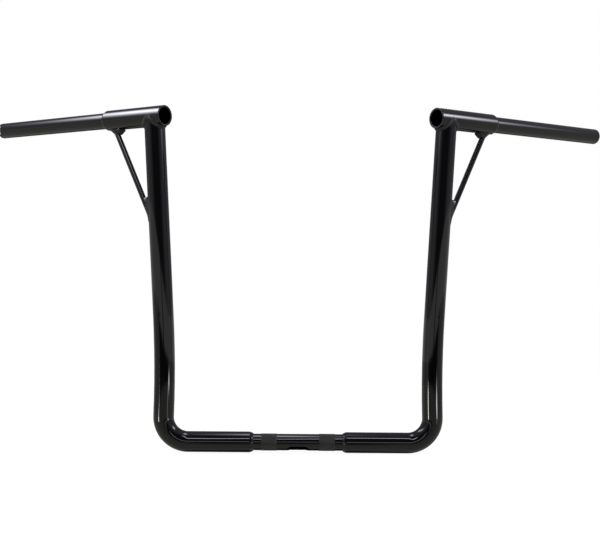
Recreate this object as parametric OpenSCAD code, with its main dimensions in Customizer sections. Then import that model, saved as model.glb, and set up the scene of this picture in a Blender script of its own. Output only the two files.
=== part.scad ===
// Tall welded steel handlebar for a motorcycle. A thin centre bar with two knurled clamp bands
// runs into two fat bent risers. A fat cross tube lies on each riser, swept back, with its inner
// mouth left open. A thin grip tube runs on from it, and a slanted rod braces it to the riser.
// X runs along the centre bar, Z points up and Y points back towards the rider.
// The origin is the middle of the centre bar, on its axis. All sizes are in millimetres.

/* [Clamp section] */
// Outside diameter of the centre bar and the grip tubes
bar_d = 25.4; // [20:0.1:32]
// Wall of the centre bar
bar_wall = 3.05; // [2:0.05:4.5]
// Distance between the middles of the two knurled bands
clamp_spacing = 88.9; // [70:0.1:110]
// Width of one knurled band
knurl_w = 24; // [16:0.5:30]
// Height of the knurl over the plain bar
knurl_rise = 0.2; // [0.16:0.01:0.4]
// Thin bar that shows between the two leg welds
bare_w = 137.2; // [134:0.1:170]
// Length of bar inside each leg
bar_plug = 45; // [25:1:60]
// Length of the wire slot in the underside
slot_len = 36; // [20:1:50]
// Width of the wire slot
slot_w = 16; // [10:0.5:18]
// Turn of the wire slot from straight down towards the front
slot_turn = 27; // [0:1:60]

/* [Risers] */
// Wall of the risers and the cross tubes
tube_wall = 3.05; // [2:0.05:4.5]
// Height from the centre bar's axis to the cross tubes' axes
rise = 498; // [400:1:620]
// Distance between the risers' upper stretches, carried down to the centre bar
riser_span = 396; // [300:1:500]
// Radius of the bend from leg to riser, at the tube's middle
bend_r = 38; // [32:1:60]
// How much the wall loses on each face in that bend
bend_slim = 0.02; // [0.01:0.01:0.1]
// Inward lean of the riser just above that bend
lean_in = 2; // [0.5:0.5:4]
// Outward lean of the riser's upper stretch
lean_out = 3; // [1:0.5:5]
// Radius of the long bend between the two leans
slow_bend_r = 1750; // [1200:10:2100]

/* [Cross tubes] */
// Turn of the cross tubes and grips, back from the centre bar's line
sweep = 37; // [0:1:45]
// From the riser's axis in to the open mouth
mouth_reach = 22.3; // [20:0.1:40]
// From the riser's axis out to the shoulder
shoulder_reach = 97.6; // [85:0.1:140]
// Bevel inside the mouth and round the tubes' cut ends
end_bevel = 0.8; // [0.3:0.1:1.5]
// Diameter of the wire passage from the cross tube down into the riser
passage_d = 16; // [8:0.5:18]

/* [Grip tubes] */
// From the riser's axis out to the end of the grip tube
grip_reach = 355.6; // [280:0.1:430]
// Wall of the grip tubes
grip_wall = 2.8; // [2:0.05:4]
// Length of grip tube inside the cross tube
grip_plug = 50; // [30:1:55]
// Width of the throttle notch in the left grip's end
notch_w = 10; // [6:0.5:14]
// Depth of the throttle notch
notch_deep = 7; // [4:0.5:14]
// Radius in the inner corners of the throttle notch
notch_r = 2; // [0.5:0.5:3]

/* [Braces] */
// Diameter of the brace rods
brace_d = 8.6; // [6:0.1:11]
// Where a brace meets the cross tube, out from the riser's axis
brace_reach = 82.7; // [65:0.1:95]
// Height of a brace from the riser's side up to the cross tube's underside
brace_h = 132; // [100:1:150]

/* [Welds] */
// Length of the bead at the leg's end along the centre bar
leg_bead = 5.4; // [4:0.1:8]
// Length of the bead at the shoulder along the grip tube
grip_bead = 4.9; // [3:0.1:8]
// Depth of the root groove under the grip tube's bead
root_groove = 0.4; // [0.2:0.05:0.8]
// Size of the bead round the top of a riser
saddle_bead = 3.8; // [3:0.1:6]
// Height of the bead round the top of a riser over a flat face
saddle_crown = 0.4; // [0.3:0.1:1.5]
// Bead at a brace's top along the rod: inner side, flanks, outer side, power of the easing
brace_top_on_rod = [9, 4, 10, 2];
// The same bead along the cross tube
brace_top_on_tube = [14.5, 4, 6.5, 2];
// Crown of the same bead, hollow where negative
brace_top_crown = [1.6, 0.5, -0.9, 2];
// Bead at a brace's foot along the rod: lower side, flanks, upper side, power of the easing
brace_foot_on_rod = [4, 3.5, 17, 4];
// The same bead along the riser
brace_foot_on_tube = [4.5, 3.5, 17, 4];
// Crown of the same bead, hollow where negative
brace_foot_crown = [0.5, 0.5, -1, 4];

/* [Fits] */
// Gap round a plain bar in a plain bore
slide_gap = 0.125; // [0.05:0.005:0.3]
// Gap round a plug in its counterbored socket
socket_gap = 0.3; // [0.2:0.05:0.5]
// Gap between a bead or a coped end and the tube it lies on
seat_gap = 0.15; // [0.1:0.01:0.3]

/* [Hidden] */
$fn = 96;

black = "#1c1c20";
bead_black = "#26262b";

bar_r = bar_d / 2;
bore_r = bar_r + slide_gap;
socket_r = bar_r + socket_gap;
tube_r = bore_r + tube_wall;
leg_end = bare_w / 2 + leg_bead;
socket_deep = bar_plug + socket_gap;

// The riser's path in the XZ plane, on the right side
slow_turn = lean_in + lean_out;
main_turn = 90 + lean_in;
main_end_z = bend_r * (1 - cos(main_turn));
slow_rise = slow_bend_r * (sin(lean_in) + sin(lean_out));
slow_out = slow_bend_r * (cos(lean_in) - cos(lean_out));
straight_z = main_end_z + slow_rise;
straight_x = riser_span / 2 + straight_z * tan(lean_out);
bend_x = straight_x - slow_out - bend_r * sin(main_turn);

// Axes of the right side's upper stretches
riser_up = [sin(lean_out), 0, cos(lean_out)];
cross_out = [cos(sweep), sin(sweep), 0];
crossing = [riser_span / 2 + rise * tan(lean_out), 0, rise];
cross_front = [sin(sweep), -cos(sweep), 0];

// Ends of the right brace's axis, in the upright plane of the cross tube
brace_top = crossing + brace_reach * cross_out - [0, 0, tube_r];
foot_z = rise - tube_r - brace_h;
foot_mid = crossing + riser_up * (foot_z - rise) / riser_up[2];
foot_off = (foot_mid - crossing) * cross_front;
foot_reach = (foot_mid - crossing) * cross_out + sqrt(pow(tube_r, 2) - pow(foot_off, 2));
brace_foot = [0, 0, foot_z - rise] + crossing + foot_reach * cross_out;
brace_up = unit(brace_top - brace_foot);

// How far the tight bend is let into its neighbours
bend_sink = 0.02;

bead_rings = 60;
bead_faces = 5;

function unit(v) = v / norm(v);
function off_axis(v, axis) = v - (v * axis) * axis;
function mix(a, b, k) = a + (b - a) * k;

// Value at the angle a round a rod, from those at its back, its flanks and its front. A high
// power in the fourth place keeps the back and front values narrow.
function by_side(sizes, a) = mix(sizes[1], sizes[cos(a) > 0 ? 2 : 0], pow(cos(a), sizes[3]));

// Point moved straight out from an axis to the radius r
function onto(p, at, axis, r) =
    let (out = off_axis(p - at, axis))
    p - out + unit(out) * r;

// The same, but only for a point that lies nearer to the axis
function clear_of(p, at, axis, r) =
    norm(off_axis(p - at, axis)) < r ? onto(p, at, axis, r) : p;

// First point at which a line from p along dir meets a round tube
function meet(p, dir, at, axis, r) =
    let (
        w = off_axis(p - at, axis),
        d = off_axis(dir, axis),
        half_b = w * d,
        room = max(0, half_b * half_b - (d * d) * (w * w - r * r))
    )
    p + dir * (-half_b - sqrt(room)) / (d * d);

// A rod and a tube are each [point on the axis, direction, radius]. The rod points at the tube.
function rod_side(rod, front, a) = front * cos(a) + cross(rod[1], front) * sin(a);
function seam(rod, tube, front, a) =
    meet(rod[0] + (rod[2] + seat_gap) * rod_side(rod, front, a), rod[1],
        tube[0], tube[1], tube[2] + seat_gap);

// Closed outline of the bead at the angle a round the rod: rod toe, root, tube toe, crown. What a
// size adds to the one at the flanks is laid along the rod's or the tube's own axis.
function bead_outline(rod, tube, front, on_rod, on_tube, crown, a) =
    let (
        look = 180 / bead_rings * 3,
        root = seam(rod, tube, front, a),
        run = unit(seam(rod, tube, front, a + look) - seam(rod, tube, front, a - look)),
        rod_out = rod_side(rod, front, a),
        tube_out = unit(off_axis(root - tube[0], tube[1])),
        rod_more = by_side(on_rod, a) - on_rod[1],
        tube_more = (by_side(on_tube, a) - on_tube[1]) * sign(cos(a)),
        rod_step = root + on_rod[1] * unit(cross(run, rod_out)) - rod_more * rod[1],
        tube_step = root + on_tube[1] * unit(cross(tube_out, run)) + tube_more * tube[1],
        rod_toe = onto(rod_step, rod[0], rod[1], rod[2] + seat_gap),
        tube_toe = onto(tube_step, tube[0], tube[1], tube[2] + seat_gap),
        rod_mid = onto(mix(root, rod_toe, 0.5), rod[0], rod[1], rod[2] + seat_gap),
        tube_mid = onto(mix(root, tube_toe, 0.5), tube[0], tube[1], tube[2] + seat_gap),
        out = unit(rod_out + tube_out) * by_side(crown, a)
    )
    concat(
        [rod_toe, rod_mid, root, tube_mid, tube_toe],
        [for (i = [bead_faces - 1:-1:1])
            let (p = mix(rod_toe, tube_toe, i / bead_faces) + out * sin(180 * i / bead_faces))
            clear_of(
                clear_of(p, rod[0], rod[1], rod[2] + 2 * seat_gap),
                tube[0], tube[1], tube[2] + 2 * seat_gap)]
    );

// Fillet bead all round the seam where a rod's end sits on a tube
module bead(rod, tube, front, on_rod, on_tube, crown) {
    outlines = [for (i = [0:bead_rings - 1])
        bead_outline(rod, tube, front, on_rod, on_tube, crown, 360 * i / bead_rings)];
    n = len(outlines[0]);
    points = [for (outline = outlines) each outline];
    faces = [
        for (i = [0:bead_rings - 1], j = [0:n - 1])
            let (
                here = i * n,
                ahead = (i + 1) % bead_rings * n,
                k = (j + 1) % n
            )
            each [[here + j, here + k, ahead + k], [here + j, ahead + k, ahead + j]]
    ];
    polyhedron(points, faces, convexity = 6);
}

// Turns what stands on the XY plane so that it runs from a point along a direction
module aim(from, dir) {
    translate(from)
        rotate([0, acos(dir[2]), atan2(dir[1], dir[0])])
            children();
}

module pipe(outer, inner, length) {
    linear_extrude(length)
        difference() {
            circle(outer);
            circle(inner);
        }
}

// Part of a ring of tube round the origin, in the XZ plane
module pipe_bend(radius, start, turn, outer, inner) {
    rotate([90, 0, 0])
        rotate([0, 0, start])
            rotate_extrude(angle = turn, $fn = 360)
                translate([radius, 0])
                    difference() {
                        circle(outer);
                        circle(inner);
                    }
}

// Slot with round ends along X, cut down through a wall
module round_slot(length, width, depth) {
    linear_extrude(depth)
        union() {
            square([length - width, width], center = true);
            for (side = [-1, 1])
                translate([side * (length - width) / 2, 0])
                    circle(width / 2);
        }
}

module centre_bar() {
    half = leg_end + bar_plug;
    inner = bar_r - bar_wall;
    color(black)
        difference() {
            union() {
                aim([-half, 0, 0], [1, 0, 0])
                    pipe(bar_r, inner, 2 * half);
                for (side = [-1, 1])
                    aim([side * clamp_spacing / 2 - knurl_w / 2, 0, 0], [1, 0, 0])
                        pipe(bar_r + knurl_rise, bar_r - bar_wall / 2, knurl_w);
            }
            rotate([-slot_turn, 0, 0])
                mirror([0, 0, 1])
                    round_slot(slot_len, slot_w, bar_d);
        }
}

// Right riser with its flat leg, bends and fish-mouthed top. The tight bend is a hair slimmer
// than the rest and let into it at both ends.
module riser() {
    sink = bend_sink / bend_r * 180 / PI;
    color(black)
        difference() {
            union() {
                aim([leg_end, 0, 0], [1, 0, 0])
                    pipe(tube_r, socket_r, socket_deep);
                aim([leg_end + socket_deep, 0, 0], [1, 0, 0])
                    pipe(tube_r, bore_r, bend_x - leg_end - socket_deep);
                translate([bend_x, 0, bend_r])
                    pipe_bend(bend_r, -90 - sink, main_turn + 2 * sink,
                        tube_r - bend_slim, bore_r + bend_slim);
                aim([straight_x, 0, straight_z], riser_up) {
                    translate([slow_bend_r, 0, 0])
                        pipe_bend(slow_bend_r, 180, slow_turn, tube_r, bore_r);
                    pipe(tube_r, bore_r, (rise - straight_z) / cos(lean_out));
                }
            }
            aim(crossing - 2 * tube_r * cross_out, cross_out)
                cylinder(r = tube_r + seat_gap, h = 4 * tube_r);
        }
}

// Right cross tube, open at the mouth, with the grip's socket in its outer end
module cross_tube() {
    length = mouth_reach + shoulder_reach;
    socket_at = length - grip_plug - socket_gap;
    color(black)
        difference() {
            aim(crossing - mouth_reach * cross_out, cross_out)
                rotate_extrude()
                    polygon([
                        [bore_r + end_bevel, 0],
                        [tube_r - end_bevel / 2, 0],
                        [tube_r, end_bevel / 2],
                        [tube_r, length],
                        [socket_r, length],
                        [socket_r, socket_at],
                        [bore_r, socket_at],
                        [bore_r, end_bevel]
                    ]);
            aim(crossing - 2 * tube_r * riser_up, riser_up)
                cylinder(d = passage_d, h = 2 * tube_r);
        }
}

// Right grip tube, plugged into the cross tube
module grip_tube() {
    length = grip_reach - shoulder_reach + grip_plug;
    inner = bar_r - grip_wall;
    bevel = end_bevel / 2;
    color(black)
        aim(crossing + (shoulder_reach - grip_plug) * cross_out, cross_out)
            rotate_extrude()
                polygon([
                    [inner, 0],
                    [bar_r, 0],
                    [bar_r, grip_plug],
                    [bar_r - root_groove, grip_plug],
                    [bar_r - root_groove, grip_plug + grip_bead],
                    [bar_r, grip_plug + grip_bead],
                    [bar_r, length - bevel],
                    [bar_r - bevel, length],
                    [inner + bevel, length],
                    [inner, length - bevel]
                ]);
}

// Cut for the throttle notch, in the front of the grip tube's end
module notch() {
    aim(crossing + grip_reach * cross_out, cross_front)
        linear_extrude(bar_d)
            union() {
                square([2 * (notch_deep - notch_r), notch_w], center = true);
                square([2 * notch_deep, notch_w - 2 * notch_r], center = true);
                for (u = [-1, 1], v = [-1, 1])
                    translate([u * (notch_deep - notch_r), v * (notch_w / 2 - notch_r)])
                        circle(notch_r);
            }
}

// Right brace rod, coped to the riser below and to the cross tube above
module brace() {
    color(black)
        difference() {
            aim(brace_foot - tube_r * brace_up, brace_up)
                cylinder(d = brace_d, h = norm(brace_top - brace_foot) + 1.5 * tube_r);
            aim(foot_mid - 3 * tube_r * riser_up, riser_up)
                cylinder(r = tube_r + seat_gap, h = 6 * tube_r);
            aim(crossing, cross_out)
                cylinder(r = tube_r + seat_gap, h = shoulder_reach);
        }
}

// Ring bead in the corner between a tube's end face and a thinner bar, standing on the face
module corner_bead(inner, outer, length) {
    crown = 0.35;
    steps = 6;
    face = [for (i = [0:steps])
        let (k = i / steps, lift = crown * sin(180 * k))
        [mix(outer, inner + crown, k) + lift, length * k + lift]];
    rotate_extrude()
        polygon(concat([[inner, 0]], face, [[inner, length]]));
}

module leg_weld() {
    color(bead_black)
        aim([leg_end, 0, 0], [-1, 0, 0])
            corner_bead(bar_r + seat_gap, tube_r - seat_gap, leg_bead);
}

module grip_weld() {
    color(bead_black)
        aim(crossing + shoulder_reach * cross_out, cross_out)
            corner_bead(bar_r - root_groove + seat_gap, tube_r - seat_gap,
                grip_bead - seat_gap);
}

module saddle_weld() {
    even = [1, 1, 1, 0];
    color(bead_black)
        bead([foot_mid, riser_up, tube_r], [crossing, cross_out, tube_r],
            unit(off_axis(cross_out, riser_up)),
            saddle_bead * even, saddle_bead * even, saddle_crown * even);
}

module brace_top_weld() {
    color(bead_black)
        bead([brace_foot, brace_up, brace_d / 2], [crossing, cross_out, tube_r],
            unit(off_axis(cross_out, brace_up)),
            brace_top_on_rod, brace_top_on_tube, brace_top_crown);
}

module brace_foot_weld() {
    color(bead_black)
        bead([brace_top, -brace_up, brace_d / 2], [crossing, riser_up, tube_r],
            unit(off_axis(riser_up, brace_up)),
            brace_foot_on_rod, brace_foot_on_tube, brace_foot_crown);
}

// The left side mirrors the right side
module flip() {
    mirror([1, 0, 0])
        children();
}

module grip_tube_left() {
    color(black)
        flip()
            difference() {
                grip_tube();
                notch();
            }
}

centre_bar();
flip() riser();  // riser_left
riser();  // riser_right
flip() cross_tube();  // cross_tube_left
cross_tube();  // cross_tube_right
grip_tube_left();
grip_tube();  // grip_tube_right
flip() brace();  // brace_left
brace();  // brace_right
flip() leg_weld();  // leg_weld_left
leg_weld();  // leg_weld_right
flip() saddle_weld();  // saddle_weld_left
saddle_weld();  // saddle_weld_right
flip() grip_weld();  // grip_weld_left
grip_weld();  // grip_weld_right
flip() brace_top_weld();  // brace_top_weld_left
brace_top_weld();  // brace_top_weld_right
flip() brace_foot_weld();  // brace_foot_weld_left
brace_foot_weld();  // brace_foot_weld_right
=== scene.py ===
import math

import bpy
from mathutils import Matrix, Quaternion, Vector


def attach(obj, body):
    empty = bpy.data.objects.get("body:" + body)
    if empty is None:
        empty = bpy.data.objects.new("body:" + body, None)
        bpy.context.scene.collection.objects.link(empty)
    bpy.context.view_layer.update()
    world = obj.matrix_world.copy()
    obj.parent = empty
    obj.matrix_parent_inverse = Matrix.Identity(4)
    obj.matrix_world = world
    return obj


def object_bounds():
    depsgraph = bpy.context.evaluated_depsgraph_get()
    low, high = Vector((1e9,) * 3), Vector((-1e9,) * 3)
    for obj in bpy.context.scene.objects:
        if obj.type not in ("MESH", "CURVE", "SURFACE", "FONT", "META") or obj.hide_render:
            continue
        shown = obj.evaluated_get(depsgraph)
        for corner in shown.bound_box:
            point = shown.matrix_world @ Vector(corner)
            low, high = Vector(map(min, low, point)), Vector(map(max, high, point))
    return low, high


bl_info = {
    "name": "Welded handlebar",
    "version": (1, 0, 0),
    "blender": (4, 5, 0),
    "location": "3D View > Sidebar > Handlebar",
    "description": "Paint, knurling, weld ripples and studio for a tall welded handlebar",
    "category": "Object",
}

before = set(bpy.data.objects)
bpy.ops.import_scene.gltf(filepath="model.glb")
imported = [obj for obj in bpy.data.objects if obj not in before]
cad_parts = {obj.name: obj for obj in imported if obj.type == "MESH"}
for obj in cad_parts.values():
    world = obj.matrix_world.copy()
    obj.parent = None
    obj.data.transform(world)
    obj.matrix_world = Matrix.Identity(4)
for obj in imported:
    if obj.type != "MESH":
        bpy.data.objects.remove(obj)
frame_box = [list(corner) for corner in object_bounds()]

# Names and the sizes that the CAD gives, in metres

MM = 0.001
SIDES = {"left": -1, "right": 1}
TUBES = ["centre_bar"] + [
    f"{name}_{side}" for name in ("riser", "cross_tube", "grip_tube", "brace") for side in SIDES
]
WELDS = [
    f"{name}_weld_{side}"
    for name in ("leg", "saddle", "grip", "brace_top", "brace_foot")
    for side in SIDES
]
TUBE = 0.015875
BRACE = 0.0043
CLAMP_REACH = 0.04445
LEG_END = 0.074
MOUTH_REACH = 0.0223
BRACE_REACH = 0.0827
SHOULDER_REACH = 0.0976

# Where the welds lie on the right side. The left side mirrors them.

LEAN = math.radians(3)
SWEEP = math.radians(37)
CROSSING = Vector((0.224099, 0, 0.498))
RISER_UP = Vector((math.sin(LEAN), 0, math.cos(LEAN)))
CROSS_OUT = Vector((math.cos(SWEEP), math.sin(SWEEP), 0))
CROSS_FRONT = Vector((math.sin(SWEEP), -math.cos(SWEEP), 0))
BRACE_TOP = CROSSING + BRACE_REACH * CROSS_OUT - Vector((0, 0, TUBE))
BRACE_DROP = 0.147875
FOOT_MIDDLE = CROSSING - RISER_UP * (BRACE_DROP / RISER_UP.z)
FOOT_REACH = (FOOT_MIDDLE - CROSSING).dot(CROSS_OUT) + math.sqrt(
    TUBE ** 2 - (FOOT_MIDDLE - CROSSING).dot(CROSS_FRONT) ** 2
)
BRACE_FOOT = CROSSING + FOOT_REACH * CROSS_OUT - Vector((0, 0, BRACE_DROP))
BRACE_UP = (BRACE_TOP - BRACE_FOOT).normalized()

# A seam is a rod and a tube, each a point, a direction and a radius, the side that counts as the
# front, and the bead's reach on the rod and on the tube and its crown in mm: at the back, at the
# flanks, at the front, and the power of the easing between them.
SEAMS = {
    "saddle": (
        (FOOT_MIDDLE, RISER_UP, TUBE), (CROSSING, CROSS_OUT, TUBE), CROSS_OUT,
        (3.8, 3.8, 3.8, 0), (3.8, 3.8, 3.8, 0), (0.4, 0.4, 0.4, 0),
    ),
    "brace_top": (
        (BRACE_FOOT, BRACE_UP, BRACE), (CROSSING, CROSS_OUT, TUBE), CROSS_OUT,
        (9, 4, 10, 2), (14.5, 4, 6.5, 2), (1.6, 0.5, -0.9, 2),
    ),
    "brace_foot": (
        (BRACE_TOP, -BRACE_UP, BRACE), (CROSSING, RISER_UP, TUBE), RISER_UP,
        (4, 3.5, 17, 4), (4.5, 3.5, 17, 4), (0.5, 0.5, -1, 4),
    ),
}
# A ring is the middle of the thick tube's end, the way out of it, the bead's outer and inner
# radius, and its length.
RINGS = {
    "leg": (Vector((LEG_END, 0, 0)), Vector((-1, 0, 0)), 0.015725, 0.01285, 0.0054),
    "grip": (CROSSING + SHOULDER_REACH * CROSS_OUT, CROSS_OUT, 0.015725, 0.01245, 0.00475),
}
# How many spots are worked out along a seam or ring, and the angle to either side of a spot that
# gives the way the seam runs there
SPOTS = 360
RUN_ANGLE = 0.15


def off_axis(vector, axis):
    """The part of a vector that is square to an axis."""
    return vector - vector.dot(axis) * axis


def onto(point, at, axis, radius):
    """The nearest point on the surface of a rod or tube."""
    out = off_axis(point - at, axis)
    return point - out + out.normalized() * radius


def by_side(sizes, angle):
    """A bead's size in metres at an angle, eased from the flanks to the front or the back."""
    end = sizes[2] if math.cos(angle) > 0 else sizes[0]
    return (sizes[1] + (end - sizes[1]) * abs(math.cos(angle)) ** sizes[3]) * MM


def seam_root(rod, tube, front, angle):
    """Where the rod's surface meets the tube's, at an angle round the rod, and the way out."""
    at, way, radius = rod
    out = front * math.cos(angle) + way.cross(front) * math.sin(angle)
    start = at + radius * out
    away, slope = off_axis(start - tube[0], tube[1]), off_axis(way, tube[1])
    half = away.dot(slope)
    room = max(0.0, half ** 2 - slope.dot(slope) * (away.dot(away) - tube[2] ** 2))
    return start - way * (half + math.sqrt(room)) / slope.dot(slope), out


def seam_spots(rod, tube, facing, on_rod, on_tube, crown):
    """The bead's middle, run, slope and way out at even angles round the rod."""
    front = off_axis(facing, rod[1]).normalized()
    spots = []
    for i in range(SPOTS):
        angle = 2 * math.pi * i / SPOTS
        root, rod_out = seam_root(rod, tube, front, angle)
        ahead = seam_root(rod, tube, front, angle + RUN_ANGLE)[0]
        run = (ahead - seam_root(rod, tube, front, angle - RUN_ANGLE)[0]).normalized()
        tube_out = off_axis(root - tube[0], tube[1]).normalized()
        facing_way = math.copysign(1, math.cos(angle))
        rod_more = by_side(on_rod, angle) - on_rod[1] * MM
        tube_more = (by_side(on_tube, angle) - on_tube[1] * MM) * facing_way
        down = root + on_rod[1] * MM * run.cross(rod_out).normalized() - rod_more * rod[1]
        side = root + on_tube[1] * MM * tube_out.cross(run).normalized() + tube_more * tube[1]
        rod_toe, tube_toe = onto(down, *rod), onto(side, *tube)
        out = (rod_out + tube_out).normalized()
        middle = (rod_toe + tube_toe) / 2 + out * by_side(crown, angle)
        spots.append((middle, run, tube_toe - rod_toe, out))
    return spots


def ring_spots(end, way, outer, inner, length):
    """The middle, run, slope and way out of a ring bead on a tube's end."""
    spots = []
    for i in range(SPOTS):
        out = Quaternion(way, 2 * math.pi * i / SPOTS) @ Vector((0, 0, 1))
        low, high = end + way * length + out * inner, end + out * outer
        spots.append(((low + high) / 2, way.cross(out), high - low, (out + way).normalized()))
    return spots


# Node helpers


class Signal:
    """A socket that takes part in arithmetic. Each operation adds one Math node."""

    def __init__(self, finish, socket):
        self.finish = finish
        self.socket = socket

    def maths(self, operation, *values):
        node = self.finish.node("ShaderNodeMath", {"operation": operation}, *values)
        return Signal(self.finish, node.outputs[0])

    def __add__(self, other):
        return self.maths("ADD", self, other)

    def __radd__(self, other):
        return self.maths("ADD", other, self)

    def __sub__(self, other):
        return self.maths("SUBTRACT", self, other)

    def __rsub__(self, other):
        return self.maths("SUBTRACT", other, self)

    def __mul__(self, other):
        return self.maths("MULTIPLY", self, other)

    def __rmul__(self, other):
        return self.maths("MULTIPLY", other, self)

    def __abs__(self):
        return self.maths("ABSOLUTE", self)

    def arcsine(self):
        return self.maths("ARCSINE", self)

    def exponent(self):
        return self.maths("EXPONENT", self)

    def turn_from(self, other):
        """The angle whose sine and cosine go as this and other."""
        return self.maths("ARCTAN2", self, other)

    def clamped(self, low, high):
        """Held between low and high."""
        return self.maths("MAXIMUM", self.maths("MINIMUM", self, high), low)

    def ramp(self, start, end, low=0.0, high=1.0):
        """Goes smoothly from low at start to high at end."""
        node = self.finish.node(
            "ShaderNodeMapRange", {"interpolation_type": "SMOOTHSTEP"}, self, start, end, low, high
        )
        return Signal(self.finish, node.outputs[0])

    def band(self, start, end, soft):
        """1 between start and end, fading out over soft on each side."""
        return self.ramp(start - soft, start + soft) * self.ramp(end + soft, end - soft)


class Finish:
    """Makes and links the nodes of one material or world."""

    def __init__(self, tree):
        self.tree = tree
        tree.nodes.clear()

    def node(self, kind, settings, *values, **named):
        """A node with its settings, then the values or links of its sockets."""
        node = self.tree.nodes.new(kind)
        for name, setting in settings.items():
            setattr(node, name, setting)
        places = list(enumerate(values)) + [(k.replace("_", " "), v) for k, v in named.items()]
        for place, value in places:
            value = value.socket if isinstance(value, Signal) else value
            if isinstance(value, bpy.types.NodeSocket):
                self.tree.links.new(value, node.inputs[place])
            elif value is not None:
                node.inputs[place].default_value = value
        return node

    def parts(self, vector):
        """The X, Y and Z of a vector."""
        node = self.node("ShaderNodeSeparateXYZ", {}, vector)
        return [Signal(self, socket) for socket in node.outputs]

    def noise(self, scale, detail):
        """Noise over the piece, scale times to a metre."""
        where = self.node("ShaderNodeTexCoord", {}).outputs["Object"]
        node = self.node("ShaderNodeTexNoise", {}, Vector=where, Scale=scale, Detail=detail)
        return Signal(self, node.outputs[0])

    def blend(self, share, one, two):
        """The colour one where share is 0, and two where it is 1."""
        node = self.node("ShaderNodeMix", {"data_type": "RGBA"})
        for place, value in ((0, share), (6, one), (7, two)):
            value = value.socket if isinstance(value, Signal) else value
            if isinstance(value, bpy.types.NodeSocket):
                self.tree.links.new(value, node.inputs[place])
            else:
                node.inputs[place].default_value = value
        return node.outputs[2]


def new_material(name):
    material = bpy.data.materials.new(name)
    material.use_nodes = True
    return material, Finish(material.node_tree)


def finish_surface(finish, shader):
    finish.node("ShaderNodeOutputMaterial", {}, shader.outputs[0])


# Patterns in the paint: how many to a metre, and their detail

PATCHES = (9.0, 4.0)
SPECKS = (160.0, 2.0)
PEEL = (420.0, 1.5)
BEAD_POOL = (320.0, 2.0)
BEAD_PATCHES = (40.0, 3.0)
KNURL_PATCHES = (60.0, 3.0)

# Where in the patterns the dust, or the knurling's paler paint, starts and is full, and how thickly
# the dust then lies

PATCH_RAMP = (0.45, 0.75)
SPECK_RAMP = (0.35, 0.8)
BEAD_RAMP = (0.4, 0.8)
KNURL_RAMP = (0.35, 0.75)
DUST_SHARE = 0.5
BEAD_DUST_SHARE = 0.3

# What the patterns add to the roughness, and the paint's other values

PATCH_ROUGHNESS = 0.02
DUST_ROUGHNESS = 0.05
BEAD_ROUGHNESS = 0.02
BEAD_PATCH_ROUGHNESS = 0.04
KNURL_ROUGHNESS = 0.42
KNURL_PATCH_ROUGHNESS = 0.15
KNURL_PALER = 1.4
POOL_HEIGHT = 0.00015
PAINT_IOR = 1.5

# A ripple is a flattened ball of few faces, and its half width is a share of the bead's slope

RIPPLE_SEGMENTS = 12
RIPPLE_RINGS = 6
RIPPLE_REACH = 0.46

# The lip round a mouth: faces round the mouth and round the lip, and how far the lip's middle is set
# back from the cut end and in from the tube's surface, as shares of the lip's radius

LIP_AROUND = 96
LIP_SEGMENTS = 24
LIP_BACK = 0.8
LIP_IN = 1.02

# Points on the rim of a knurled band lie within this of it, in metres

TOUCH = 0.000001

# The studio that the gloss paint mirrors, as brightnesses and as angles in degrees. A turn is counted
# from the front, where the camera stands, and a lift from level. A pair of angles is where a change
# starts and ends. Three are the two edges of a band and how softly they fade.

WALL = 0.065
SIDE_GAIN, SIDE_TURNS = 0.33, (26, 66)
BACK_LOSS, BACK_TURNS = 0.15, (118, 140)
TOP_GAIN, TOP_LIFTS = 0.1, (55, 75)
WALL_FOOT = (-0.1, 0.7)
GROUND = 0.48
NEAR_LOSS, NEAR_TURNS, NEAR_LIFTS = 0.12, (60, 30), (-36, -10)
FAR_LOSS, FAR_TURNS = 0.42, (150, 164)
MIDDLE_TURNS = (6.5, 3.5)
MIDDLE_LOSS, MIDDLE_BAND = 0.75, (-18, -9.5, 1.5)
GROUND_EDGE = (-6.0, -6.5)
SHELF, SHELF_LOSS, SHELF_BAND = 0.66, 0.7, (-4.0, 0.3, 0.35)
GAP, GAP_GAIN, GAP_TURNS, GAP_BAND = 0.03, 0.36, (38, 62), (-6.2, -3.9, 0.4)
LINE, LINE_TURNS, LINE_BAND = 9.0, (30, 14), (-2.6, 2.6, 2.0)
LINE_LIFT, LINE_SLANT, SLANT_TURNS = 51.0, 1.7, (-5.0, 5.0)
THIN, THIN_TURNS, THIN_BAND = 4.0, (24, 12), (10.0, 12.5, 1.2)
STRIPS = {45.0: 3.0, -51.0: 30.0}
STRIP_TURNS, STRIP_LIFTS = (-2.0, 2.0, 1.5), (-13.0, -6.6, 0.8)
GROUND_TINT, WALL_TINT, TINT_LIFTS = (1.02, 1.0, 0.95, 1), (0.97, 0.94, 1.1, 1), (-12, 12)
WHITE = (1, 1, 1, 1)

# The soft panels: middle, way of facing, turn in degrees, fading length along and across, and tint

PANELS = {
    "softbox_left": ((-1.4, 0.19, 1.48), (1, 0, 0), 41, (0.42, 0.15), (0.97, 0.97, 1.06)),
    "softbox_right": ((1.4, -0.15, 1.1), (-1, 0, 0), 0, (0.15, 0.165), (0.98, 0.96, 1.07)),
    "softbox_top": ((-0.045, 0.15, 1.5), (0, 0, -1), 0, (0.1, 0.2), (1, 1, 1)),
    "strip_right": ((1.05, -0.85, -0.07), (-1, 1, 0), 0, (0.07, 0.025), (1, 1, 1)),
}
# A panel's width and depth, counted in fading lengths
PANEL_REACH = 6

# The floor: its size and how far it lies under the bar in metres, its grey and its glow

FLOOR_SIZE = 12
FLOOR_DROP = 0.00005
FLOOR_GREY = 0.12
FLOOR_GLOW = 0.93

# The photo's camera: turn, drop and roll in degrees, aim and distance in metres, focal length and
# width in pixels of the photo, and a sensor's width in mm

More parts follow.
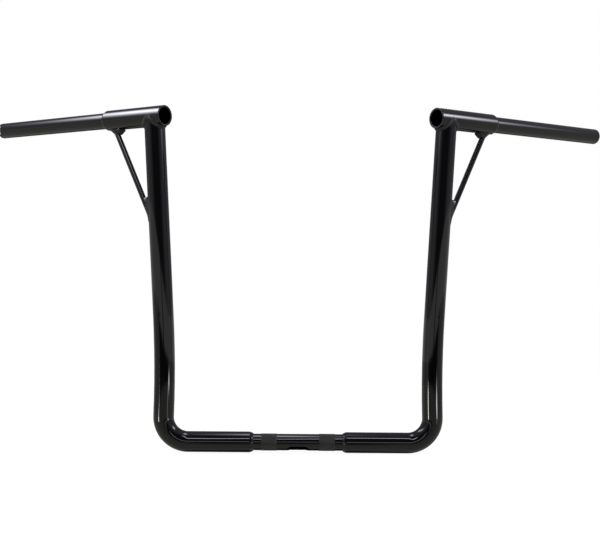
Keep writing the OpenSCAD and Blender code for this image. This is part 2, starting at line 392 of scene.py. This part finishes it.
CAMERA_ANGLES = (0.519, 0.829, 0.493)
CAMERA_AIM = Vector((1.039, 0, 249.615)) * MM
CAMERA_DISTANCE = 1.73505
CAMERA_NEAR = 0.05
FOCAL_PIXELS = 1129.88
PHOTO_WIDTH = 600
SENSOR_WIDTH = 36


# Sizes and colours that a user would change


class PaintSettings(bpy.types.PropertyGroup):
    colour: bpy.props.FloatVectorProperty(
        name="Paint", description="Colour of the gloss paint", subtype="COLOR",
        default=(0.0009, 0.0009, 0.0011), min=0, max=1,
    )
    gloss: bpy.props.FloatProperty(
        name="Roughness", description="Roughness of the gloss paint", default=0.03, min=0, max=1,
    )
    peel: bpy.props.FloatProperty(
        name="Orange peel", description="Height of the paint's faint waviness",
        default=0.000004, min=0, max=0.001, unit="LENGTH",
    )
    dust: bpy.props.FloatVectorProperty(
        name="Dust", description="Colour of the thin film of dust", subtype="COLOR",
        default=(0.0045, 0.0045, 0.0042), min=0, max=1,
    )


class RippleSettings(bpy.types.PropertyGroup):
    step: bpy.props.FloatProperty(
        name="Ripple step", description="Distance from one ripple of a weld to the next",
        default=0.0017, min=0.0005, unit="LENGTH",
    )
    length: bpy.props.FloatProperty(
        name="Ripple length", description="Half length of one ripple along the weld",
        default=0.00125, min=0.0001, unit="LENGTH",
    )
    height: bpy.props.FloatProperty(
        name="Ripple height", description="How far a ripple stands out of the bead",
        default=0.0003, min=0.00005, unit="LENGTH",
    )
    lip: bpy.props.FloatProperty(
        name="Lip radius", description="Radius of the rounded lip round each open mouth",
        default=0.0015, min=0.0001, unit="LENGTH",
    )


class KnurlSettings(bpy.types.PropertyGroup):
    colour: bpy.props.FloatVectorProperty(
        name="Knurl paint", description="Colour of the thin paint over the knurling",
        subtype="COLOR", default=(0.0155, 0.015, 0.0138), min=0, max=1,
    )
    width: bpy.props.FloatProperty(
        name="Band width", description="Length of each knurled band along the bar",
        default=0.024, min=0.001, unit="LENGTH",
    )
    radius: bpy.props.FloatProperty(
        name="Band radius", description="Radius at the bottom of the knurling",
        default=0.01292, min=0.001, unit="LENGTH",
    )
    height: bpy.props.FloatProperty(
        name="Diamond height", description="How far each diamond stands up",
        default=0.00024, min=0, unit="LENGTH",
    )
    around: bpy.props.IntProperty(
        name="Diamonds around", description="Diamonds in one row round the bar",
        default=60, min=8, max=200,
    )
    backing: bpy.props.FloatProperty(
        name="Backing", description="Thickness of the sleeve that carries the diamonds",
        default=0.00015, min=0, unit="LENGTH",
    )


class StudioSettings(bpy.types.PropertyGroup):
    room: bpy.props.FloatProperty(
        name="Room light", description="Strength of the even light in the room",
        default=0.6, min=0,
    )
    softbox_left: bpy.props.FloatProperty(
        name="Left softbox", description="Brightness of the softbox on the left",
        default=16.0, min=0,
    )
    softbox_right: bpy.props.FloatProperty(
        name="Right softbox", description="Brightness of the softbox on the right",
        default=16.0, min=0,
    )
    softbox_top: bpy.props.FloatProperty(
        name="Top softbox", description="Brightness of the softbox overhead",
        default=6.0, min=0,
    )
    strip_right: bpy.props.FloatProperty(
        name="Right strip", description="Brightness of the narrow strip low on the right",
        default=16.0, min=0,
    )


class HANDLEBAR_OT_paint(bpy.types.Operator):
    """Paint the tubes and rods gloss black"""

    bl_idname = "handlebar.paint"
    bl_label = "Paint the tubes"

    def execute(self, context):
        settings = context.scene.handlebar_paint
        material, finish = new_material("gloss_black")
        patches = finish.noise(*PATCHES)
        specks = finish.noise(*SPECKS)
        dust = patches.ramp(*PATCH_RAMP) * specks.ramp(*SPECK_RAMP) * DUST_SHARE
        bump = finish.node(
            "ShaderNodeBump", {}, Strength=1.0, Distance=settings.peel,
            Height=finish.noise(*PEEL),
        )
        shader = finish.node(
            "ShaderNodeBsdfPrincipled", {},
            Base_Color=finish.blend(dust, (*settings.colour, 1), (*settings.dust, 1)),
            Roughness=settings.gloss + patches * PATCH_ROUGHNESS + dust * DUST_ROUGHNESS,
            IOR=PAINT_IOR,
            Normal=bump.outputs[0],
        )
        finish_surface(finish, shader)
        for name in TUBES:
            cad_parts[name].data.materials.clear()
            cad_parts[name].data.materials.append(material)
        return {"FINISHED"}


class HANDLEBAR_OT_beads(bpy.types.Operator):
    """Paint the weld beads gloss black over their uneven metal"""

    bl_idname = "handlebar.beads"
    bl_label = "Paint the weld beads"

    def execute(self, context):
        settings = context.scene.handlebar_paint
        material, finish = new_material("painted_bead")
        patches = finish.noise(*BEAD_PATCHES)
        dust = patches.ramp(*BEAD_RAMP) * BEAD_DUST_SHARE
        bump = finish.node(
            "ShaderNodeBump", {}, Strength=1.0, Distance=POOL_HEIGHT,
            Height=finish.noise(*BEAD_POOL),
        )
        shader = finish.node(
            "ShaderNodeBsdfPrincipled", {},
            Base_Color=finish.blend(dust, (*settings.colour, 1), (*settings.dust, 1)),
            Roughness=settings.gloss + BEAD_ROUGHNESS + patches * BEAD_PATCH_ROUGHNESS,
            IOR=PAINT_IOR,
            Normal=bump.outputs[0],
        )
        finish_surface(finish, shader)
        for name in WELDS:
            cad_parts[name].data.materials.clear()
            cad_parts[name].data.materials.append(material)
        return {"FINISHED"}


class HANDLEBAR_OT_ripples(bpy.types.Operator):
    """Lay the ripples of the weld pool along every bead"""

    bl_idname = "handlebar.ripples"
    bl_label = "Ripple the welds"

    def lay(self, name, spots, settings):
        """One overlapping coin after another along the spots, joined into one piece."""
        bpy.ops.object.select_all(action="DESELECT")
        bpy.ops.mesh.primitive_uv_sphere_add(
            segments=RIPPLE_SEGMENTS, ring_count=RIPPLE_RINGS, radius=1
        )
        bpy.ops.object.shade_smooth()
        coins = [bpy.context.object]
        last = None
        for middle, run, slope, out in spots:
            if last is not None and (middle - last).length < settings.step:
                continue
            if last is not None:
                bpy.ops.object.duplicate()
                coins.append(bpy.context.object)
            last = middle
            across = slope.normalized()
            up = across.cross(run).normalized()
            if up.dot(out) < 0:
                up = -up
            along = across.cross(up)
            size = (settings.length, RIPPLE_REACH * slope.length, settings.height)
            way = Matrix((along, across, up)).transposed().to_4x4()
            coins[-1].matrix_world = (
                Matrix.Translation(middle) @ way @ Matrix.Diagonal((*size, 1))
            )
        for coin in coins:
            coin.select_set(True)
        bpy.ops.object.join()
        weld = bpy.context.object
        weld.name = name
        bpy.ops.object.transform_apply(location=True, rotation=True, scale=True)
        bpy.ops.object.mode_set(mode="EDIT")
        bpy.ops.mesh.select_all(action="SELECT")
        bpy.ops.mesh.normals_make_consistent(inside=False)
        bpy.ops.object.mode_set(mode="OBJECT")
        return weld

    def execute(self, context):
        settings = context.scene.handlebar_ripples
        paint = bpy.data.materials["painted_bead"]
        runs = {name: seam_spots(*seam) for name, seam in SEAMS.items()}
        runs.update({name: ring_spots(*ring) for name, ring in RINGS.items()})
        for name, spots in runs.items():
            for side, sign in SIDES.items():
                flip = Matrix.Diagonal((sign, 1, 1))
                mirrored = [tuple(flip @ part for part in spot) for spot in spots]
                weld = self.lay(f"{name}_ripples_{side}", mirrored, settings)
                weld.data.materials.append(paint)
                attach(weld, "root")
        return {"FINISHED"}


class HANDLEBAR_OT_lips(bpy.types.Operator):
    """Round off the rims of the two open mouths"""

    bl_idname = "handlebar.lips"
    bl_label = "Round the mouths"

    def execute(self, context):
        settings = context.scene.handlebar_ripples
        paint = bpy.data.materials["gloss_black"]
        for side, sign in SIDES.items():
            out = Vector((sign * CROSS_OUT.x, CROSS_OUT.y, 0))
            crossing = Vector((sign * CROSSING.x, 0, CROSSING.z))
            bpy.ops.object.select_all(action="DESELECT")
            bpy.ops.mesh.primitive_torus_add(
                location=crossing - out * (MOUTH_REACH - LIP_BACK * settings.lip),
                rotation=out.to_track_quat("Z", "Y").to_euler(),
                major_segments=LIP_AROUND, minor_segments=LIP_SEGMENTS,
                major_radius=TUBE - LIP_IN * settings.lip, minor_radius=settings.lip,
            )
            lip = bpy.context.object
            lip.name = f"mouth_lip_{side}"
            bpy.ops.object.shade_smooth()
            bpy.ops.object.transform_apply(location=True, rotation=True, scale=True)
            lip.data.materials.append(paint)
            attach(lip, "root")
        return {"FINISHED"}


def select_edges(piece, test):
    """Selects the edges whose two ends pass the test, and nothing else."""
    points = piece.data.vertices
    for part in (*points, *piece.data.polygons):
        part.select = False
    for edge in piece.data.edges:
        one, two = edge.vertices
        edge.select = test(points[one], points[two])


class HANDLEBAR_OT_knurl(bpy.types.Operator):
    """Raise the diamonds of the two knurled clamp bands"""

    bl_idname = "handlebar.knurl"
    bl_label = "Knurl the clamp bands"

    def band(self, name, middle, settings):
        """A thin sleeve of four-sided points, set corner to corner round the bar."""
        bpy.context.tool_settings.mesh_select_mode = (False, True, False)
        bpy.ops.object.select_all(action="DESELECT")
        bpy.ops.mesh.primitive_cylinder_add(
            vertices=settings.around, radius=settings.radius, depth=settings.width,
            end_fill_type="NOTHING", location=(middle, 0, 0), rotation=(0, math.pi / 2, 0),
        )
        band = bpy.context.object
        band.name = name
        bpy.ops.object.transform_apply(location=True, rotation=True, scale=True)
        pitch = 2 * math.pi * settings.radius / settings.around
        rows = round(settings.width / pitch)
        half = settings.width / 2
        select_edges(band, lambda one, two: abs(one.co.x - two.co.x) > half)
        bpy.ops.object.mode_set(mode="EDIT")
        bpy.ops.mesh.subdivide(number_cuts=rows - 1)
        bpy.ops.object.mode_set(mode="OBJECT")
        squares = len(band.data.vertices)
        bpy.ops.object.mode_set(mode="EDIT")
        bpy.ops.mesh.select_all(action="SELECT")
        bpy.ops.mesh.normals_make_consistent(inside=False)
        bpy.ops.mesh.poke()
        bpy.ops.object.mode_set(mode="OBJECT")

        def inside_square_side(one, two):
            rim = min(abs(v.co.x - middle) for v in (one, two)) > half - TOUCH
            return max(one.index, two.index) < squares and not rim

        select_edges(band, inside_square_side)
        bpy.ops.object.mode_set(mode="EDIT")
        bpy.ops.mesh.dissolve_edges(use_verts=False)
        bpy.ops.mesh.select_all(action="SELECT")
        bpy.ops.mesh.poke(offset=settings.height)
        bpy.ops.object.mode_set(mode="OBJECT")
        thicken = band.modifiers.new("thickness", "SOLIDIFY")
        thicken.thickness = settings.backing
        thicken.offset = -1
        bpy.ops.object.modifier_apply(modifier=thicken.name)
        return band

    def execute(self, context):
        settings = context.scene.handlebar_knurl
        material, finish = new_material("knurl_paint")
        patches = finish.noise(*KNURL_PATCHES)
        shader = finish.node(
            "ShaderNodeBsdfPrincipled", {},
            Base_Color=finish.blend(
                patches.ramp(*KNURL_RAMP), (*settings.colour, 1),
                (*[part * KNURL_PALER for part in settings.colour], 1),
            ),
            Roughness=KNURL_ROUGHNESS + patches * KNURL_PATCH_ROUGHNESS,
            IOR=PAINT_IOR,
        )
        finish_surface(finish, shader)
        for side, sign in SIDES.items():
            band = self.band(f"knurl_{side}", sign * CLAMP_REACH, settings)
            band.data.materials.append(material)
            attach(band, "root")
        return {"FINISHED"}


class HANDLEBAR_OT_studio(bpy.types.Operator):
    """Set up the pale floor, the room, the softboxes and the camera"""

    bl_idname = "handlebar.studio"
    bl_label = "Set up the studio"

    def floor(self):
        """A pale floor just under the bar. The camera sees it, and the paint doesn't."""
        ground = frame_box[0][2] - FLOOR_DROP
        bpy.ops.object.select_all(action="DESELECT")
        bpy.ops.mesh.primitive_plane_add(size=FLOOR_SIZE, location=(0, 0, ground))
        floor = bpy.context.object
        floor.name = "floor"
        material, finish = new_material("pale_floor")
        grey = (FLOOR_GREY, FLOOR_GREY, FLOOR_GREY, 1)
        diffuse = finish.node("ShaderNodeBsdfDiffuse", {}, Color=grey)
        glow = finish.node("ShaderNodeEmission", {}, Color=WHITE, Strength=FLOOR_GLOW)
        both = finish.node("ShaderNodeAddShader", {}, diffuse.outputs[0], glow.outputs[0])
        finish_surface(finish, both)
        floor.data.materials.append(material)
        floor.visible_glossy = False
        floor.visible_diffuse = False

    def walls(self, turn, lift):
        """Brightness of the walls and the ground, with the shelf and the gap between them."""
        aside = abs(turn)
        wall = WALL + SIDE_GAIN * aside.ramp(*SIDE_TURNS) - BACK_LOSS * aside.ramp(*BACK_TURNS)
        wall = wall + TOP_GAIN * lift.ramp(*TOP_LIFTS)
        near = aside.ramp(*NEAR_TURNS) * lift.ramp(*NEAR_LIFTS)
        middle = aside.ramp(*MIDDLE_TURNS)
        ground = GROUND - NEAR_LOSS * near - FAR_LOSS * aside.ramp(*FAR_TURNS)
        ground = ground * (1 - MIDDLE_LOSS * middle * lift.band(*MIDDLE_BAND))
        shelf = lift.band(*SHELF_BAND) * (1 - SHELF_LOSS * middle)
        gap = (GAP + GAP_GAIN * aside.ramp(*GAP_TURNS)) * lift.band(*GAP_BAND)
        above, below = lift.ramp(*WALL_FOOT), lift.ramp(*GROUND_EDGE)
        return wall * above + ground * below + SHELF * shelf + gap

    def lines(self, turn, lift):
        """Brightness of the slanting line and the thin one overhead, and of the two upright strips."""
        aside = abs(turn)
        slant = turn.clamped(*SLANT_TURNS) * LINE_SLANT + LINE_LIFT
        line = (lift - slant).band(*LINE_BAND) * aside.ramp(*LINE_TURNS)
        thin = lift.band(*THIN_BAND) * aside.ramp(*THIN_TURNS)
        strips = sum((turn - at).band(*STRIP_TURNS) * bright for at, bright in STRIPS.items())
        return line * LINE + thin * THIN + strips * lift.band(*STRIP_LIFTS)

    def room(self, context):
        """The world: white to the camera, even as a light, and a studio where paint mirrors it."""
        settings = context.scene.handlebar_studio
        world = bpy.data.worlds.new("room")
        world.use_nodes = True
        context.scene.world = world
        finish = Finish(world.node_tree)
        x, y, z = finish.parts(finish.node("ShaderNodeTexCoord", {}).outputs["Generated"])
        turn = x.turn_from(0 - y) * math.degrees(1)
        lift = z.arcsine() * math.degrees(1)
        tint = finish.blend(lift.ramp(*TINT_LIFTS), GROUND_TINT, WALL_TINT)
        glossy = finish.node(
            "ShaderNodeBackground", {}, Color=tint,
            Strength=self.walls(turn, lift) + self.lines(turn, lift),
        )
        even = finish.node("ShaderNodeBackground", {}, Color=WHITE, Strength=settings.room)
        white = finish.node("ShaderNodeBackground", {}, Color=WHITE, Strength=1.0)
        kind = finish.node("ShaderNodeLightPath", {})
        lit = finish.node(
            "ShaderNodeMixShader", {}, kind.outputs["Is Glossy Ray"],
            even.outputs[0], glossy.outputs[0],
        )
        seen = finish.node(
            "ShaderNodeMixShader", {}, kind.outputs["Is Camera Ray"],
            lit.outputs[0], white.outputs[0],
        )
        finish.node("ShaderNodeOutputWorld", {}, seen.outputs[0])

    def softbox(self, name, strength, middle, facing, turn, spread, tint):
        """A soft-edged panel of light that adds to what lies behind it."""
        bpy.ops.object.select_all(action="DESELECT")
        bpy.ops.mesh.primitive_plane_add(size=1)
        panel = bpy.context.object
        panel.name = name
        way = Vector(facing).to_track_quat("Z", "Y").to_matrix().to_4x4()
        panel.matrix_world = (
            Matrix.Translation(middle) @ way @ Matrix.Rotation(math.radians(turn), 4, "Z")
            @ Matrix.Diagonal((PANEL_REACH * spread[0], PANEL_REACH * spread[1], 1, 1))
        )
        material, finish = new_material(name)
        where = finish.parts(finish.node("ShaderNodeTexCoord", {}).outputs["UV"])
        along, across = [(share - 0.5) * PANEL_REACH for share in where[:2]]
        fade = ((along * along + across * across) * -0.5).exponent()
        glow = finish.node("ShaderNodeEmission", {}, Color=(*tint, 1), Strength=fade * strength)
        clear = finish.node("ShaderNodeBsdfTransparent", {})
        both = finish.node("ShaderNodeAddShader", {}, glow.outputs[0], clear.outputs[0])
        finish_surface(finish, both)
        panel.data.materials.append(material)
        panel.visible_camera = False
        panel.visible_shadow = False

    def camera(self, context):
        """The camera of the photo, and a plain view transform."""
        turn, drop, roll = [math.radians(angle) for angle in CAMERA_ANGLES]
        look = Vector((
            math.sin(turn) * math.cos(drop), math.cos(turn) * math.cos(drop), -math.sin(drop)
        ))
        level = Vector((math.cos(turn), -math.sin(turn), 0))
        upright = level.cross(look)
        right = math.cos(roll) * level + math.sin(roll) * upright
        up = math.cos(roll) * upright - math.sin(roll) * level
        spot = CAMERA_AIM - look * CAMERA_DISTANCE
        lens = bpy.data.cameras.new("camera")
        lens.sensor_fit = "HORIZONTAL"
        lens.sensor_width = SENSOR_WIDTH
        lens.lens = FOCAL_PIXELS / PHOTO_WIDTH * SENSOR_WIDTH
        lens.clip_start = CAMERA_NEAR
        camera = bpy.data.objects.new("camera", lens)
        context.scene.collection.objects.link(camera)
        camera.matrix_world = Matrix((
            (right.x, up.x, -look.x, spot.x),
            (right.y, up.y, -look.y, spot.y),
            (right.z, up.z, -look.z, spot.z),
            (0, 0, 0, 1),
        ))
        context.scene.camera = camera
        context.scene.view_settings.view_transform = "Standard"

    def execute(self, context):
        settings = context.scene.handlebar_studio
        self.floor()
        self.room(context)
        for name, panel in PANELS.items():
            self.softbox(name, getattr(settings, name), *panel)
        self.camera(context)
        return {"FINISHED"}


class HANDLEBAR_PT_panel(bpy.types.Panel):
    """Lists the handlebar's sizes, colours and steps"""

    bl_idname = "HANDLEBAR_PT_panel"
    bl_label = "Handlebar"
    bl_space_type = "VIEW_3D"
    bl_region_type = "UI"
    bl_category = "Handlebar"

    def draw(self, context):
        for name, operators in STEPS.items():
            box = self.layout.box()
            settings = getattr(context.scene, name)
            for key in settings.__annotations__:
                box.prop(settings, key)
            for operator in operators:
                box.operator(operator.bl_idname)


STEPS = {
    "handlebar_paint": [HANDLEBAR_OT_paint, HANDLEBAR_OT_beads],
    "handlebar_ripples": [HANDLEBAR_OT_ripples, HANDLEBAR_OT_lips],
    "handlebar_knurl": [HANDLEBAR_OT_knurl],
    "handlebar_studio": [HANDLEBAR_OT_studio],
}
SETTINGS = {
    "handlebar_paint": PaintSettings,
    "handlebar_ripples": RippleSettings,
    "handlebar_knurl": KnurlSettings,
    "handlebar_studio": StudioSettings,
}
CLASSES = [
    *SETTINGS.values(),
    *[operator for operators in STEPS.values() for operator in operators],
    HANDLEBAR_PT_panel,
]


def register():
    for cls in CLASSES:
        bpy.utils.register_class(cls)
    for name, group in SETTINGS.items():
        setattr(bpy.types.Scene, name, bpy.props.PointerProperty(type=group))


def unregister():
    for name in SETTINGS:
        delattr(bpy.types.Scene, name)
    for cls in reversed(CLASSES):
        bpy.utils.unregister_class(cls)


def main():
    register()
    bpy.ops.handlebar.paint()
    bpy.ops.handlebar.beads()
    bpy.ops.handlebar.ripples()
    bpy.ops.handlebar.lips()
    bpy.ops.handlebar.knurl()
    bpy.ops.handlebar.studio()
    bpy.context.view_layer.update()


if __name__ == "__main__":
    main()
